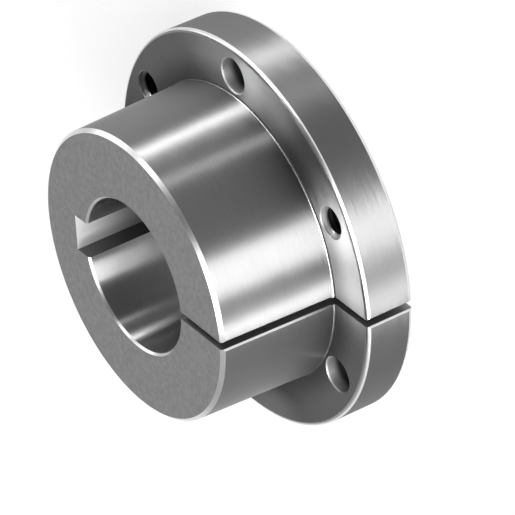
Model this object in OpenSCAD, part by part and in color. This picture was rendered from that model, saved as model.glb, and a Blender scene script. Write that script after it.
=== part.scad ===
// Split taper bushing with a drilled and tapped flange.
// The bore axis is Z, the back of the flange lies on z = 0 and the nose points up.
// The slit opens towards -Y and the keyway lies opposite it, towards +Y.

/* [Flange] */
// Metal left between the plain holes and the rim of the flange
rim_wall = 2.8; // [2:0.1:12]
// Thickness of the flange
flange_t = 12.7; // [10:0.1:20]
// Rounding radius of both edges of the flange rim
rim_round = 1.0; // [0.3:0.1:2]

/* [Barrel] */
// Height from the back of the flange to the nose
overall_l = 43.2; // [32:0.1:75]
// Diameter of the barrel at its large end, on the flange
taper_d = 73.6; // [62:0.1:110]
// Length of barrel over which its diameter falls by one
taper_length = 16; // [10:1:40]
// Chamfer round the nose
nose_chamfer = 0.9; // [0.3:0.1:2.5]
// Fillet where the barrel meets the flange
root_fillet = 0.5; // [0.2:0.1:1]

/* [Bore and keyway] */
// Diameter of the shaft bore
bore_d = 38.1; // [25:0.1:42]
// Chamfer on both edges of the bore
bore_chamfer = 0.5; // [0.2:0.1:1.5]
// Width of the keyway
key_w = 9.52; // [5:0.01:12]
// Depth of the keyway, measured at its side
key_depth = 4.76; // [2.5:0.01:6]

/* [Slit] */
// Width of the slit through barrel and flange
slit_w = 2.0; // [1.5:0.1:4]
// Edge break along the slit, outside the barrel and the rim
slit_break = 0.4; // [0.1:0.1:0.8]

/* [Flange holes] */
// Gap between the barrel and the plain holes
hole_gap = 0.9; // [0.5:0.1:5]
// Number of plain holes, and of tapped holes between them
hole_pairs = 3; // [2:1:3]
// Diameter of the plain holes for the cap screws
clear_hole_d = 8.7; // [7:0.1:14]
// Edge break on the mouths of the plain holes
clear_hole_break = 0.3; // [0.1:0.1:0.6]
// Thread diameter of the tapped holes for the jack screws
jack_hole_d = 7.94; // [6:0.01:9.5]
// Countersink on the mouths of the tapped holes
jack_countersink = 0.2; // [0.2:0.1:0.8]

/* [Key set screw] */
// Thread diameter of the set screw over the key
screw_d = 6.35; // [4:0.01:8]
// Length of the set screw
screw_l = 11; // [6:0.1:14]
// Hexagon socket of the set screw, across its flats
socket_af = 3.17; // [2:0.01:3.5]
// Depth of the hexagon socket
socket_depth = 4; // [2:0.1:5]
// Edge break on the mouth of the set screw hole
screw_hole_break = 0.5; // [0.2:0.1:1]
// Gap between the set screw and its hole, all round
screw_clearance = 0.05; // [0.02:0.01:0.1]
// Gap between the tip of the set screw and the floor of the keyway
tip_gap = 0.4; // [0:0.1:2]

/* [Hidden] */
$fn = 96;
small_fn = 24;

steel = [0.62, 0.62, 0.62];
black_oxide = [0.14, 0.14, 0.15];
overcut = 1;

// how far the chamfer of a hole runs on past the face that it breaks
chamfer_run = 0.05;

// the taper: its half angle, and the barrel's radius at the flange and at the nose chamfer
taper_angle = atan(1 / (2 * taper_length));
root_r = taper_d / 2;
cone_top_z = overall_l - nose_chamfer;
nose_r = root_r - (cone_top_z - flange_t) * tan(taper_angle);

// how far the arc of the root fillet runs into the taper, so that the two cross cleanly
fillet_sink = 0.002;

// the circle that the holes lie on clears the barrel, and the flange reaches past its holes
hole_circle_r = root_r + hole_gap + clear_hole_d / 2;
flange_r = hole_circle_r + clear_hole_d / 2 + rim_wall;

// the floor of the keyway, from the bore axis
bore_r = bore_d / 2;
key_floor = sqrt(pow(bore_r, 2) - pow(key_w / 2, 2)) + key_depth;

// the six flange holes: plain and tapped ones alternate, and the slit lies midway between two of them
hole_step = 360 / (2 * hole_pairs);
slit_angle = -90;
jack_start = slit_angle + hole_step / 2;
clear_start = slit_angle - hole_step / 2;

// the set screw: it lies in the middle of the flange, its tip just above the key
screw_r = screw_d / 2 - screw_clearance;
screw_z = flange_t / 2;
screw_tip_y = key_floor + tip_gap;
screw_edge = 0.8;
cup_r = screw_r / 2;
cup_depth = 0.6;

// Outline of the barrel's half section, from the axis to the taper
module barrel_section() {
    polygon([
        [0, 0],
        [root_r, 0],
        [root_r, flange_t],
        [nose_r, cone_top_z],
        [nose_r - nose_chamfer, overall_l],
        [0, overall_l]
    ]);
}

// Outline of the flange's half section, with both rim edges rounded
module flange_section() {
    difference() {
        square([flange_r, flange_t]);
        for (side = [0, 1])
            translate([flange_r - rim_round, side * flange_t]) mirror([0, side])
                difference() {
                    translate([0, -overcut]) square([rim_round + overcut, rim_round + overcut]);
                    translate([0, rim_round]) circle(r = rim_round, $fn = small_fn);
                }
    }
}

// Fillet between taper and flange: tangent to the flange, its top end just inside the taper
module root_fillet_section() {
    arc_x = root_r + root_fillet * (1 - sin(taper_angle)) / cos(taper_angle) - fillet_sink;
    arc_z = flange_t + root_fillet;
    inner_x = root_r - root_fillet;
    difference() {
        translate([inner_x, flange_t - root_fillet])
            square([arc_x - inner_x, 2 * root_fillet]);
        translate([arc_x, arc_z]) circle(r = root_fillet, $fn = small_fn);
    }
}

// The turned blank: flange and tapered barrel in one piece
module turned_blank() {
    rotate_extrude() {
        barrel_section();
        flange_section();
        root_fillet_section();
    }
}

// A straight hole along Z with a chamfer at both of its mouths
module chamfered_hole(r, length, chamfer) {
    mouth_r = r + chamfer + chamfer_run;
    rotate_extrude()
        polygon([
            [0, -overcut],
            [mouth_r, -overcut],
            [mouth_r, -chamfer_run],
            [r, chamfer],
            [r, length - chamfer],
            [mouth_r, length + chamfer_run],
            [mouth_r, length + overcut],
            [0, length + overcut]
        ]);
}

// One ring of flange holes, evenly spaced from the start angle
module hole_ring(start, r, chamfer) {
    for (i = [0 : hole_pairs - 1])
        rotate(start + i * 2 * hole_step)
            translate([hole_circle_r, 0, 0])
                chamfered_hole(r, flange_t, chamfer);
}

module keyway() {
    translate([-key_w / 2, 0, -overcut])
        cube([key_w, key_floor, overall_l + 2 * overcut]);
}

module slit() {
    rotate(slit_angle)
        translate([0, -slit_w / 2, -overcut])
            cube([flange_r + overcut, slit_w, overall_l + 2 * overcut]);
}

// V groove along Z that breaks both edges of the slit in the face x = 0
module slit_edge_break(length) {
    half = slit_w / 2 + slit_break;
    linear_extrude(length)
        polygon([[-half, 0], [overcut, -half - overcut], [overcut, half + overcut]]);
}

// The edge breaks of the slit, down the rim and along the taper
module slit_edge_breaks() {
    rotate(slit_angle) {
        translate([flange_r, 0, -overcut])
            slit_edge_break(flange_t + 2 * overcut);
        translate([root_r, 0, flange_t])
            rotate([0, -taper_angle, 0])
                translate([0, 0, 2 * root_fillet])
                    slit_edge_break(overall_l - flange_t);
    }
}

// Tapped hole for the set screw, from the rim to the keyway
module set_screw_hole() {
    cone_h = screw_hole_break + overcut;
    translate([0, 0, screw_z]) rotate([-90, 0, 0]) {
        cylinder(d = screw_d, h = flange_r + overcut);
        translate([0, 0, flange_r - screw_hole_break])
            cylinder(d1 = screw_d, d2 = screw_d + 2 * cone_h, h = cone_h);
    }
}

// The bushing itself, split on one side and keyed on the other
module bushing() {
    color(steel)
    difference() {
        turned_blank();
        chamfered_hole(bore_r, overall_l, bore_chamfer);
        keyway();
        slit();
        slit_edge_breaks();
        hole_ring(clear_start, clear_hole_d / 2, clear_hole_break);
        hole_ring(jack_start, jack_hole_d / 2, jack_countersink);
        set_screw_hole();
    }
}

// Half section of the set screw along its axis, with a cup point at the bottom
module screw_section() {
    polygon([
        [0, cup_depth],
        [cup_r, 0],
        [screw_r - screw_edge, 0],
        [screw_r, screw_edge],
        [screw_r, screw_l - screw_edge],
        [screw_r - screw_edge, screw_l],
        [0, screw_l]
    ]);
}

// Headless screw that holds the key, its socket towards the rim
module key_set_screw() {
    color(black_oxide)
    translate([0, screw_tip_y, screw_z]) rotate([-90, 0, 0])
        difference() {
            rotate_extrude() screw_section();
            translate([0, 0, screw_l - socket_depth])
                cylinder(d = socket_af / cos(30), h = socket_depth + overcut, $fn = 6);
        }
}

bushing();
key_set_screw();
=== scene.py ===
import math

import bmesh
import bpy
from mathutils import Matrix, Vector


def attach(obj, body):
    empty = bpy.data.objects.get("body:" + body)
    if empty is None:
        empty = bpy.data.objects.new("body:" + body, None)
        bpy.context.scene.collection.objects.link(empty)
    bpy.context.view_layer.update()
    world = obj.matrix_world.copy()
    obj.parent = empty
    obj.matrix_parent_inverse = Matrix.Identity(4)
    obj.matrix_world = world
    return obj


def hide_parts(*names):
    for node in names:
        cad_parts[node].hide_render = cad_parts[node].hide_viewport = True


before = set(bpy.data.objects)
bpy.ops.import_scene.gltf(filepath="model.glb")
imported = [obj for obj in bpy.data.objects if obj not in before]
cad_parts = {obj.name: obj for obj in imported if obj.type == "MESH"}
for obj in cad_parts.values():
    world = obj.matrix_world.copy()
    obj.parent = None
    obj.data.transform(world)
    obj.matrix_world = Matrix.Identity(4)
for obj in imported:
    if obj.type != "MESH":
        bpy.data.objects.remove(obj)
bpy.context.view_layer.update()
scene = bpy.context.scene
mm = 0.001
up = Vector((0, 0, 1))

# sizes that the source also has, in millimetres and degrees
bushing = {
    "flangeR": 49.2,
    "flangeT": 12.7,
    "rimRound": 1.0,
    "overallL": 43.2,
    "rootR": 36.8,
    "rootFillet": 0.5,
    "filletSink": 0.002,
    "taperLength": 16,  # over which the diameter falls by one
    "keyHalf": 4.76,
    "slitHalf": 1.0,
    "slitBreak": 0.4,
    "holeCircleR": 42.05,
    "clearR": 4.35,
    "clearAngles": (-120, 0, 120),
    "jackR": 3.97,
    "jackAngles": (-60, 60, 180),
    "screwZ": 6.35,
    "screwHoleR": 3.175,
}


print("stage: materials")


def addNode(tree, kind, **values):
    node = tree.nodes.new(kind)
    for key, value in values.items():
        setattr(node, key, value)
    return node


def feedSocket(tree, socket, value):
    if isinstance(value, (int, float)):
        socket.default_value = value
    else:
        tree.links.new(value, socket)


def mathNode(tree, operation, a, b=0.0):
    node = addNode(tree, "ShaderNodeMath", operation=operation)
    feedSocket(tree, node.inputs[0], a)
    feedSocket(tree, node.inputs[1], b)
    return node.outputs[0]


def vectorNode(tree, operation, a, b=None):
    node = addNode(tree, "ShaderNodeVectorMath", operation=operation)
    tree.links.new(a, node.inputs[0])
    if b is not None:
        tree.links.new(b, node.inputs[1])
    return node.outputs[0]


def scaled(tree, vector, factor):
    node = addNode(tree, "ShaderNodeVectorMath", operation="SCALE")
    tree.links.new(vector, node.inputs[0])
    feedSocket(tree, node.inputs["Scale"], factor)
    return node.outputs[0]


def combine(tree, x, y, z):
    node = addNode(tree, "ShaderNodeCombineXYZ")
    for socket, value in zip(node.inputs, (x, y, z)):
        feedSocket(tree, socket, value)
    return node.outputs[0]


def mapRange(tree, value, source, target, curve="LINEAR"):
    node = addNode(tree, "ShaderNodeMapRange", interpolation_type=curve)
    tree.links.new(value, node.inputs["Value"])
    for socket, limit in zip(("From Min", "From Max", "To Min", "To Max"), source + target):
        node.inputs[socket].default_value = limit
    return node.outputs["Result"]


def blend(tree, a, b, share):
    first = mathNode(tree, "MULTIPLY", a, share)
    return mathNode(tree, "ADD", first, mathNode(tree, "MULTIPLY", b, 1.0 - share))


# the noises that a steel surface is made of
noiseRange = (0.3, 0.7)  # most of a noise lies in here
markNoise = {"detail": 4.0, "roughness": 0.6}
grainNoise = {"detail": 5.0, "roughness": 0.6}
cloudNoise = {"detail": 3.0, "roughness": 0.55}
toneShare = 0.5  # marks and grain in the colour, the rest is cloud
glossShare = 0.6  # the same in the gloss


def noise(tree, vector, scale, detail, roughness):
    node = addNode(tree, "ShaderNodeTexNoise")
    tree.links.new(vector, node.inputs["Vector"])
    for socket, value in (("Scale", scale), ("Detail", detail), ("Roughness", roughness)):
        node.inputs[socket].default_value = value
    return node.outputs["Fac"]


def spread(tree, value, low, high):
    return mapRange(tree, value, noiseRange, (low, high))


def pointOnPart(tree):
    # where a point lies, also by its distance from the bore's axis, and the way round that axis
    place = addNode(tree, "ShaderNodeTexCoord").outputs["Object"]
    split = addNode(tree, "ShaderNodeSeparateXYZ")
    tree.links.new(place, split.inputs[0])
    x, y, z = split.outputs
    squares = mathNode(tree, "ADD", mathNode(tree, "MULTIPLY", x, x), mathNode(tree, "MULTIPLY", y, y))
    around = combine(tree, mathNode(tree, "MULTIPLY", y, -1.0), x, 0.0)
    return {
        "place": place, "x": x, "y": y, "height": z,
        "radius": mathNode(tree, "SQRT", squares),
        "circle": vectorNode(tree, "NORMALIZE", around),
    }


def toolMarks(tree, look, point):
    # short across the feed, long along the cut
    if look["cut"] == "turned":
        across = combine(tree, 0.0, 0.0, mathNode(tree, "ADD", point["radius"], point["height"]))
        along = scaled(tree, point["circle"], look["markRatio"])
        vector = vectorNode(tree, "ADD", across, along)
    else:
        along = mathNode(tree, "MULTIPLY", point["height"], look["markRatio"])
        vector = combine(tree, point["x"], point["y"], along)
    return noise(tree, vector, look["markScale"], **markNoise)


def steelTone(tree, look, pattern):
    tones = addNode(tree, "ShaderNodeMix", data_type="RGBA")
    darkAndLight = [socket for socket in tones.inputs if socket.type == "RGBA"]
    for socket, way in zip(darkAndLight, (-1, 1)):
        grey = look["grey"] * (1 + way * look["toneSpread"])
        socket.default_value = (grey, grey, grey, 1.0)
    tree.links.new(spread(tree, pattern, 0.0, 1.0), tones.inputs["Factor"])
    return next(socket for socket in tones.outputs if socket.type == "RGBA")


def paintedShadeFactor(tree, paintedShade, point):
    # painted shade: the holes and the keyway are darker in their depth, and the flange towards the barrel
    offset = mathNode(tree, "SUBTRACT", point[paintedShade["by"]], paintedShade["middle"] * mm)
    distance = mathNode(tree, "ABSOLUTE", offset)
    reach = (paintedShade["inner"] * mm, paintedShade["outer"] * mm)
    return mapRange(tree, distance, reach, (paintedShade["least"], 1.0), "SMOOTHSTEP")


def reliefNormal(tree, look, texture):
    bump = addNode(tree, "ShaderNodeBump")
    bump.inputs["Strength"].default_value = 1.0
    bump.inputs["Distance"].default_value = look["relief"] * mm
    tree.links.new(texture, bump.inputs["Height"])
    return bump.outputs["Normal"]


def grooveTangent(tree, look, point, marks):
    # the gloss spreads across the grooves, which wander a little
    normal = addNode(tree, "ShaderNodeNewGeometry").outputs["Normal"]
    across = vectorNode(tree, "NORMALIZE", vectorNode(tree, "CROSS_PRODUCT", normal, point["circle"]))
    wander = scaled(tree, point["circle"], spread(tree, marks, -look["wander"], look["wander"]))
    return vectorNode(tree, "NORMALIZE", vectorNode(tree, "ADD", across, wander))


def steelMaterial(name, look):
    material = bpy.data.materials.new(name)
    material.use_nodes = True
    tree = material.node_tree
    shader = tree.nodes["Principled BSDF"]
    shader.inputs["Metallic"].default_value = 1.0
    shader.inputs["Anisotropic"].default_value = look["anisotropy"]
    point = pointOnPart(tree)
    marks = toolMarks(tree, look, point)
    grain = noise(tree, point["place"], look["grainScale"], **grainNoise)
    cloud = noise(tree, point["place"], look["cloudScale"], **cloudNoise)
    texture = blend(tree, marks, grain, look["markShare"])
    colour = steelTone(tree, look, blend(tree, texture, cloud, toneShare))
    # painted shade darkens the colour where a look has it
    if "paintedShade" in look:
        colour = scaled(tree, colour, paintedShadeFactor(tree, look["paintedShade"], point))
    gloss = spread(tree, blend(tree, texture, cloud, glossShare), *look["roughness"])
    tree.links.new(colour, shader.inputs["Base Color"])
    tree.links.new(gloss, shader.inputs["Roughness"])
    tree.links.new(reliefNormal(tree, look, texture), shader.inputs["Normal"])
    if look["anisotropy"] > 0:
        tree.links.new(grooveTangent(tree, look, point, marks), shader.inputs["Tangent"])
    return material


# finishes: noise scales per metre, relief and the reach of painted shade in millimetres
halfFlange = bushing["flangeT"] / 2
screwEnd = 34.6  # the set screw's outer end, from the bore's axis
plainLook = {
    "cut": "turned", "markScale": 2600.0, "markRatio": 0.002, "markShare": 0.7,
    "grainScale": 1500.0, "cloudScale": 90.0, "toneSpread": 0.1, "relief": 0.001,
    "anisotropy": 0.0, "wander": 0.0,
}
turnedLook = {**plainLook, "markShare": 0.85, "anisotropy": 0.97, "wander": 0.07}
broachedLook = {**plainLook, "cut": "broached", "markRatio": 0.04, "relief": 0.006}
tappedLook = {**plainLook, "roughness": (0.40, 0.50), "markScale": 1600.0, "relief": 0.004}
looks = {
    "turned": {**turnedLook, "grey": 0.20, "roughness": (0.37, 0.43), "anisotropy": 1.0, "wander": 0.04},
    "rim": {**turnedLook, "grey": 0.22, "roughness": (0.50, 0.58)},
    "flangeFace": {
        **turnedLook, "grey": 0.37, "roughness": (0.54, 0.60), "wander": 0.06,
        # painted shade: the flange face darkens towards the barrel
        "paintedShade": {"by": "radius", "middle": bushing["rootR"], "inner": 0.5, "outer": 8.0, "least": 0.5},
    },
    "faced": {
        **plainLook, "grey": 0.26, "roughness": (0.74, 0.84), "toneSpread": 0.24, "relief": 0.02,
        "markRatio": 0.01, "markShare": 0.2, "grainScale": 1300.0, "cloudScale": 700.0,
    },
    "backFace": {**plainLook, "grey": 0.34, "roughness": (0.40, 0.46), "anisotropy": 0.95, "wander": 0.06},
    "bored": {**turnedLook, "grey": 0.28, "roughness": (0.28, 0.32), "anisotropy": 1.0, "wander": 0.02},
    # edge breaks, rounds and the upper part of the root fillet are brighter steel: partly a brighter edge
    # finish, partly a painted highlight line
    "edge": {**plainLook, "grey": 0.66, "roughness": (0.26, 0.34), "toneSpread": 0.06},
    "rootShade": {**plainLook, "grey": 0.07, "roughness": (0.50, 0.60)},
    # painted light and shade: the keyway floor is a much lighter grey than the other broached faces, and
    # darker towards the bottom
    "keyFloor": {
        **broachedLook, "grey": 0.60, "roughness": (0.52, 0.64),
        "paintedShade": {"by": "height", "middle": 12, "inner": 12, "outer": 32, "least": 0.3},
    },
    # painted shade: the keyway wall is a much darker grey than the other broached faces
    "keyWall": {**broachedLook, "grey": 0.11, "roughness": (0.22, 0.28), "relief": 0.002},
    "cut": {**broachedLook, "grey": 0.24, "roughness": (0.40, 0.50), "markRatio": 0.3},
    "drilled": {
        **broachedLook, "grey": 0.42, "roughness": (0.44, 0.54), "markScale": 1600.0, "markRatio": 2.0,
        # painted shade: the hole walls go nearly black towards the middle of their depth
        "paintedShade": {"by": "height", "middle": halfFlange, "inner": 2.6, "outer": 4.6, "least": 0.12},
    },
    "thread": {
        **tappedLook, "grey": 0.50,
        # painted shade: the threads go nearly black towards the middle of the flange
        "paintedShade": {"by": "height", "middle": halfFlange, "inner": 4.2, "outer": 6.0, "least": 0.06},
    },
    "screwHole": {
        **tappedLook, "grey": 0.48,
        # painted shade: the thread goes nearly black deeper in, towards the set screw
        "paintedShade": {"by": "radius", "middle": screwEnd, "inner": 5.0, "outer": 14.0, "least": 0.1},
    },
    "oxide": {
        **plainLook, "grey": 0.05, "roughness": (0.38, 0.48), "toneSpread": 0.15, "markShare": 0.3,
        "relief": 0.004,
    },
}
steel = {name: steelMaterial(name + "Steel", look) for name, look in looks.items()}


print("stage: bushing")
mergeGap = 0.002 * mm  # vertices of the solids nearer than this are one
bodyLooks = [name for name in looks if name not in ("oxide", "thread")]

# what tells the faces apart: lengths in millimetres, the rest are parts of a unit normal
sorting = {
    "slack": 0.1,  # a facet lies this near to its true surface
    "holeEdge": 0.6,  # the edge break of a hole stays this near to its wall
    "square": 0.995,  # a face square to an axis
    "slant": (0.4, 0.95),  # an edge break of the slit
    "upright": 0.02,  # the rim or the bore
    "lean": 0.06,  # the taper
    "rootDark": 0.4,  # the lower part of the root fillet, which faces up
}


def addPiece(name, bm, materials):
    mesh = bpy.data.meshes.new(name)
    bm.to_mesh(mesh)
    bm.free()
    for material in materials:
        mesh.materials.append(material)
    piece = bpy.data.objects.new(name, mesh)
    scene.collection.objects.link(piece)
    return piece


def mergedCopy(node):
    bm = bmesh.new()
    bm.from_mesh(node.data)
    bmesh.ops.remove_doubles(bm, verts=bm.verts, dist=mergeGap)
    return bm


def holeCentre(angle):
    turn = math.radians(angle)
    return bushing["holeCircleR"] * math.cos(turn), bushing["holeCircleR"] * math.sin(turn)


flangeHoles = [(*holeCentre(angle), bushing["jackR"]) for angle in bushing["jackAngles"]]
flangeHoles += [(*holeCentre(angle), bushing["clearR"]) for angle in bushing["clearAngles"]]


# each of these takes a face by its middle and its normal, in millimetres,
# and gives its look and the true shape that it lies on
def holeSurface(c, n):
    b, slack, edge = bushing, sorting["slack"], sorting["holeEdge"]
    if math.hypot(c.x, c.y) > b["rootR"] + b["rootFillet"] + slack and abs(n.z) < sorting["square"]:
        for x, y, holeR in flangeHoles:
            if math.hypot(c.x - x, c.y - y) < holeR + edge:
                return "drilled", ("turned", x, y, -1)
    rise = c.z - b["screwZ"]
    facesIn = n.x * c.x + n.z * rise < -slack
    if c.y > 0 and facesIn and math.hypot(c.x, rise) < b["screwHoleR"] + edge:
        return "screwHole", ("crossTurned",)
    return None


def slotSurface(c, n):
    b, slack, square = bushing, sorting["slack"], sorting["square"]
    if abs(n.x) > square and abs(c.x) < b["keyHalf"] + slack:
        return ("cut" if c.y < 0 else "keyWall"), ("flat",)
    if n.y < -square and c.y > 0:
        return "keyFloor", ("flat",)
    low, high = sorting["slant"]
    if c.y < 0 and low < abs(n.x) < high and abs(c.x) < b["slitHalf"] + b["slitBreak"] + slack:
        return "edge", ("flat",)
    return None


def facedSurface(c, n):
    if n.z < -sorting["square"]:
        return "backFace", ("flat",)
    if n.z > sorting["square"]:
        return ("faced" if c.z > bushing["overallL"] - sorting["slack"] else "flangeFace"), ("flat",)
    return None


def turnedSurface(c, n):
    b, slack = bushing, sorting["slack"]
    upright = abs(n.z) < sorting["upright"]
    if n.x * c.x + n.y * c.y < 0:
        return ("bored" if upright else "edge"), ("turned", 0, 0, -1)
    rimArcR = b["flangeR"] - b["rimRound"]
    if math.hypot(c.x, c.y) > rimArcR - slack:
        if upright:
            return "rim", ("turned", 0, 0, 1)
        rimArcZ = b["rimRound"] if n.z < 0 else b["flangeT"] - b["rimRound"]
        return "edge", ("round", rimArcR, rimArcZ, 1)
    if n.z < sorting["lean"]:
        return "turned", ("turned", 0, 0, 1)
    rootArcZ = b["flangeT"] + b["rootFillet"]
    if c.z < rootArcZ + slack:
        taper = math.atan(1 / (2 * b["taperLength"]))
        tangent = b["rootFillet"] * (1 - math.sin(taper)) / math.cos(taper)
        rootArcR = b["rootR"] + tangent - b["filletSink"]
        return ("edge" if n.z < sorting["rootDark"] else "rootShade"), ("round", rootArcR, rootArcZ, -1)
    return "edge", ("turned", 0, 0, 1)


def surfaceOf(c, n):
    return holeSurface(c, n) or slotSurface(c, n) or facedSurface(c, n) or turnedSurface(c, n)


def trueNormal(shape, n, p):
    kind, *values = shape
    if kind == "turned":
        x, y, way = values
        outward = Vector((p.x - x, p.y - y, 0)).normalized()
        return outward * way * math.sqrt(1 - n.z ** 2) + up * n.z
    if kind == "crossTurned":
        inward = Vector((-p.x, 0, bushing["screwZ"] - p.z)).normalized()
        return inward * math.sqrt(1 - n.y ** 2) + Vector((0, n.y, 0))
    if kind == "round":
        arcR, arcZ, way = values
        outward = Vector((p.x, p.y, 0)).normalized()
        return (outward * (math.hypot(p.x, p.y) - arcR) + up * (p.z - arcZ)).normalized() * way
    return n


def dressedBody(node):
    bm = mergedCopy(node)
    normals = []
    for face in bm.faces:
        look, shape = surfaceOf(face.calc_center_median() / mm, face.normal)
        face.smooth = True
        face.material_index = bodyLooks.index(look)
        normals += [trueNormal(shape, face.normal, loop.vert.co / mm) for loop in face.loops]
    piece = addPiece("bushingBody", bm, [steel[look] for look in bodyLooks])
    piece.data.normals_split_custom_set([tuple(normal) for normal in normals])
    return piece


body = dressedBody(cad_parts["bushing"])
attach(body, "root")
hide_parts("bushing")


print("stage: set screw")
sharpAngle = math.radians(25)


def shadeByAngle(bm):
    for face in bm.faces:
        face.smooth = True
    for edge in bm.edges:
        edge.smooth = edge.calc_face_angle(0.0) < sharpAngle


def cleanScrew(node):
    bm = mergedCopy(node)
    bmesh.ops.dissolve_degenerate(bm, edges=bm.edges, dist=mergeGap)
    shadeByAngle(bm)
    return addPiece("setScrew", bm, [steel["oxide"]])


setScrew = cleanScrew(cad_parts["key_set_screw"])
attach(setScrew, "root")
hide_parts("key_set_screw")


print("stage: threads")
# in millimetres along each hole: where its thread starts and ends, and how far it takes to fade out
threads = {
    "jack": {
        "holeR": bushing["jackR"], "pitch": 1.411, "look": "thread",
        "low": 0.25, "high": bushing["flangeT"] - 0.25, "fade": 0.9,
    },
    "screw": {
        "holeR": bushing["screwHoleR"], "pitch": 1.27, "look": "screwHole",
        "low": 34.8, "high": 48.5, "fade": 0.8,
    },
}
threadHeight = 0.5413  # as a part of the pitch
threadGap = 0.01  # from the wall of the hole to the roots
threadWall = 0.005  # behind the roots
turnSteps = 48
weldGap = 0.001  # what lies nearer than this is one
skewLine = Vector((0.31, 0.53, 0.79))  # hardly any two edges or faces lie level along it


def threadOutline(major, pitch):
    # one pitch: flat root, flank, flat crest, flank
    root, crest = pitch / 8, pitch / 4
    flank = (pitch - root - crest) / 2
    minor = major - threadHeight * pitch
    return [(major, 0), (major, root), (minor, root + flank), (minor, root + flank + crest), (major, pitch)]


def settleOrder(bm):
    # spin, bisect and extrude leave edges and faces in a chance order, so these are sorted by place
    for items in (bm.edges, bm.faces):
        items.sort(key=lambda item: sum(skewLine.dot(vert.co) for vert in item.verts) / len(item.verts))


def woundThread(size, major):
    # the outline wound up the hole, with a turn to spare at each end that the trim takes off
    pitch = size["pitch"]
    turns = math.ceil((size["high"] - size["low"]) / pitch) + 2
    bm = bmesh.new()
    corners = [bm.verts.new((r, 0, size["low"] - pitch + z)) for r, z in threadOutline(major, pitch)]
    edges = [bm.edges.new(pair) for pair in zip(corners, corners[1:])]
    bmesh.ops.spin(
        bm, geom=corners + edges, cent=(0, 0, 0), axis=(0, 0, 1), dvec=(0, 0, pitch / turnSteps),
        angle=2 * math.pi * turns, steps=turns * turnSteps, use_merge=False,
    )
    bmesh.ops.remove_doubles(bm, verts=bm.verts, dist=weldGap)
    settleOrder(bm)
    for z, way in ((size["low"], -1), (size["high"], 1)):
        bmesh.ops.bisect_plane(
            bm, geom=bm.verts[:] + bm.edges[:] + bm.faces[:],
            dist=weldGap, plane_co=(0, 0, z), plane_no=(0, 0, way), clear_outer=True,
        )
        settleOrder(bm)
    return bm


def moveToRadius(vert, radius):
    factor = radius / math.hypot(vert.co.x, vert.co.y)
    vert.co.x *= factor
    vert.co.y *= factor


def fadeAtMouths(bm, size, major):
    for vert in bm.verts:
        z = vert.co.z
        depth = min(1.0, (z - size["low"]) / size["fade"], (size["high"] - z) / size["fade"])
        r = math.hypot(vert.co.x, vert.co.y)
        moveToRadius(vert, major + (r - major) * max(0.0, depth))


def closeBehind(bm, major):
    # a thin wall behind the roots closes the thread
    ends = bmesh.ops.extrude_edge_only(bm, edges=[edge for edge in bm.edges if edge.is_boundary])["geom"]
    for vert in (item for item in ends if isinstance(item, bmesh.types.BMVert)):
        moveToRadius(vert, major + threadWall)
    settleOrder(bm)
    bmesh.ops.bridge_loops(bm, edges=[edge for edge in bm.edges if edge.is_boundary])
    bmesh.ops.recalc_face_normals(bm, faces=bm.faces)


def addThread(name, size, place):
    major = size["holeR"] - threadGap
    bm = woundThread(size, major)
    fadeAtMouths(bm, size, major)
    closeBehind(bm, major)
    shadeByAngle(bm)
    bm.transform(Matrix.Scale(mm, 4))
    bm.transform(place)
    thread = addPiece(name, bm, [steel[size["look"]]])
    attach(thread, "root")


for number, angle in enumerate(bushing["jackAngles"], 1):
    x, y = holeCentre(angle)
    addThread("jackThread%d" % number, threads["jack"], Matrix.Translation((x * mm, y * mm, 0)))
towardsRim = Matrix.Rotation(-math.pi / 2, 4, "X")
screwPlace = Matrix.Translation((0, 0, bushing["screwZ"] * mm)) @ towardsRim
addThread("screwHoleThread", threads["screw"], screwPlace)


print("stage: floor and light")
paper = {
    "reach": 6.0,  # metres from the middle to each side
    "drop": 0.0001,  # metres below the part
    "grey": 0.86,
    "roughness": 0.9,
    "gloss": 0.1,
    "white": 0.75,  # share of plain white in what the camera and the metal see of it
}


def mixShaders(tree, share, a, b):
    node = addNode(tree, "ShaderNodeMixShader")
    tree.links.new(share, node.inputs[0])
    tree.links.new(a.outputs[0], node.inputs[1])
    tree.links.new(b.outputs[0], node.inputs[2])
    return node


def paperMaterial():
    material = bpy.data.materials.new("floorPaper")
    material.use_nodes = True
    tree = material.node_tree
    lit = tree.nodes["Principled BSDF"]
    lit.inputs["Base Color"].default_value = (paper["grey"], paper["grey"], paper["grey"], 1.0)
    lit.inputs["Roughness"].default_value = paper["roughness"]
    lit.inputs["Specular IOR Level"].default_value = paper["gloss"]
    rays = addNode(tree, "ShaderNodeLightPath").outputs
    # seen directly or in the metal, the paper is nearly white and keeps a pale shadow
    mirrored = mathNode(tree, "MAXIMUM", rays["Is Glossy Ray"], rays["Is Transmission Ray"])
    seen = mathNode(tree, "MAXIMUM", rays["Is Camera Ray"], mirrored)
    white = addNode(tree, "ShaderNodeEmission")
    above = mixShaders(tree, mathNode(tree, "MULTIPLY", seen, paper["white"]), lit, white)
    # from below, the camera looks through it
    backside = addNode(tree, "ShaderNodeNewGeometry").outputs["Backfacing"]
    below = mathNode(tree, "MULTIPLY", backside, rays["Is Camera Ray"])
    clear = addNode(tree, "ShaderNodeBsdfTransparent")
    both = mixShaders(tree, below, above, clear)
    tree.links.new(both.outputs[0], tree.nodes["Material Output"].inputs["Surface"])
    return material


floorBm = bmesh.new()
floorPlace = Matrix.Translation((0, 0, -paper["drop"]))
bmesh.ops.create_grid(floorBm, x_segments=1, y_segments=1, size=paper["reach"], matrix=floorPlace)
floor = addPiece("floor", floorBm, [paperMaterial()])

# white up to just above the horizon, dark overhead
sky = {"fade": (0.08, 0.16), "brightness": (1.0, 0.04)}


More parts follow.
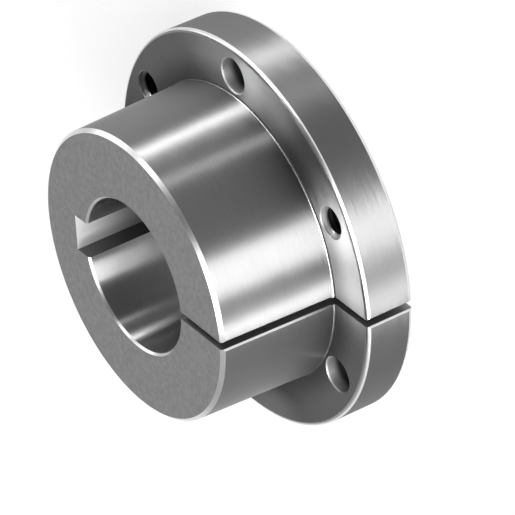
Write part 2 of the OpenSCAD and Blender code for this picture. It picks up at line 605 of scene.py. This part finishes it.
def studioWorld():
    world = bpy.data.worlds.new("studio")
    world.use_nodes = True
    tree = world.node_tree
    direction = addNode(tree, "ShaderNodeSeparateXYZ")
    tree.links.new(addNode(tree, "ShaderNodeTexCoord").outputs["Generated"], direction.inputs[0])
    brightness = mapRange(tree, direction.outputs["Z"], sky["fade"], sky["brightness"], "SMOOTHSTEP")
    tree.links.new(brightness, tree.nodes["Background"].inputs["Color"])
    return world


scene.world = studioWorld()

# softboxes round the part: azimuth from +X and spread in degrees, lower and upper edge in metres
boxDistance = 1.8
softboxes = [
    {"name": "wideBox", "azimuth": -76, "spread": 27, "low": 0.01, "high": 0.95, "radiance": 20.0},
    {"name": "leftStrip", "azimuth": -116, "spread": 12, "low": 0.01, "high": 0.95, "radiance": 26.0},
    {"name": "rightStrip", "azimuth": 31, "spread": 6, "low": 0.01, "high": 0.95, "radiance": 45.0},
    {"name": "faintStrip", "azimuth": 1, "spread": 3, "low": 0.01, "high": 0.95, "radiance": 20.0},
    {"name": "wideUpper", "azimuth": -79, "spread": 36, "low": 0.95, "high": 3.6, "radiance": 7.0},
    {"name": "leftUpper", "azimuth": -115, "spread": 20, "low": 0.95, "high": 3.6, "radiance": 7.0},
    {"name": "rightUpper", "azimuth": 33, "spread": 10, "low": 0.95, "high": 3.6, "radiance": 6.0},
    {"name": "rightFill", "azimuth": 80, "spread": 44, "low": 0.01, "high": 0.5, "radiance": 0.3},
    {"name": "rightGlow", "azimuth": 68, "spread": 34, "low": 0.5, "high": 1.4, "radiance": 2.2},
    {"name": "backFill", "azimuth": 132, "spread": 56, "low": 0.01, "high": 1.8, "radiance": 0.4},
    {"name": "leftFill", "azimuth": 194, "spread": 64, "low": 0.01, "high": 1.5, "radiance": 0.45},
]


def addSoftbox(box):
    azimuth = math.radians(box["azimuth"])
    outward = Vector((math.cos(azimuth), math.sin(azimuth), 0))
    width = 2 * boxDistance * math.tan(math.radians(box["spread"] / 2))
    height = box["high"] - box["low"]
    light = bpy.data.lights.new(box["name"], "AREA")
    light.shape = "RECTANGLE"
    light.size = width
    light.size_y = height
    light.energy = box["radiance"] * math.pi * width * height
    lamp = bpy.data.objects.new(box["name"], light)
    lamp.location = outward * boxDistance + up * (box["low"] + box["high"]) / 2
    lamp.rotation_euler = (-outward).to_track_quat("-Z", "Y").to_euler()
    scene.collection.objects.link(lamp)


for box in softboxes:
    addSoftbox(box)


print("stage: camera")
cameraSetting = {
    "location": (0.64415, -0.79433, 0.53146),
    "aim": (-0.00327, -0.00777, 0.01389),
    "roll": -113.7,
    "lens": 346.9,
    "sensor": 36.0,
    "clipStart": 0.05,
}
camera = bpy.data.objects.new("camera", bpy.data.cameras.new("camera"))
scene.collection.objects.link(camera)
camera.data.lens = cameraSetting["lens"]
camera.data.sensor_width = cameraSetting["sensor"]
camera.data.clip_start = cameraSetting["clipStart"]
forward = Vector(cameraSetting["aim"]) - Vector(cameraSetting["location"])
facing = forward.to_track_quat("-Z", "Y").to_matrix().to_4x4()
roll = Matrix.Rotation(math.radians(cameraSetting["roll"]), 4, "Z")
camera.matrix_world = Matrix.Translation(cameraSetting["location"]) @ facing @ roll
scene.camera = camera
scene.view_settings.view_transform = "Standard"
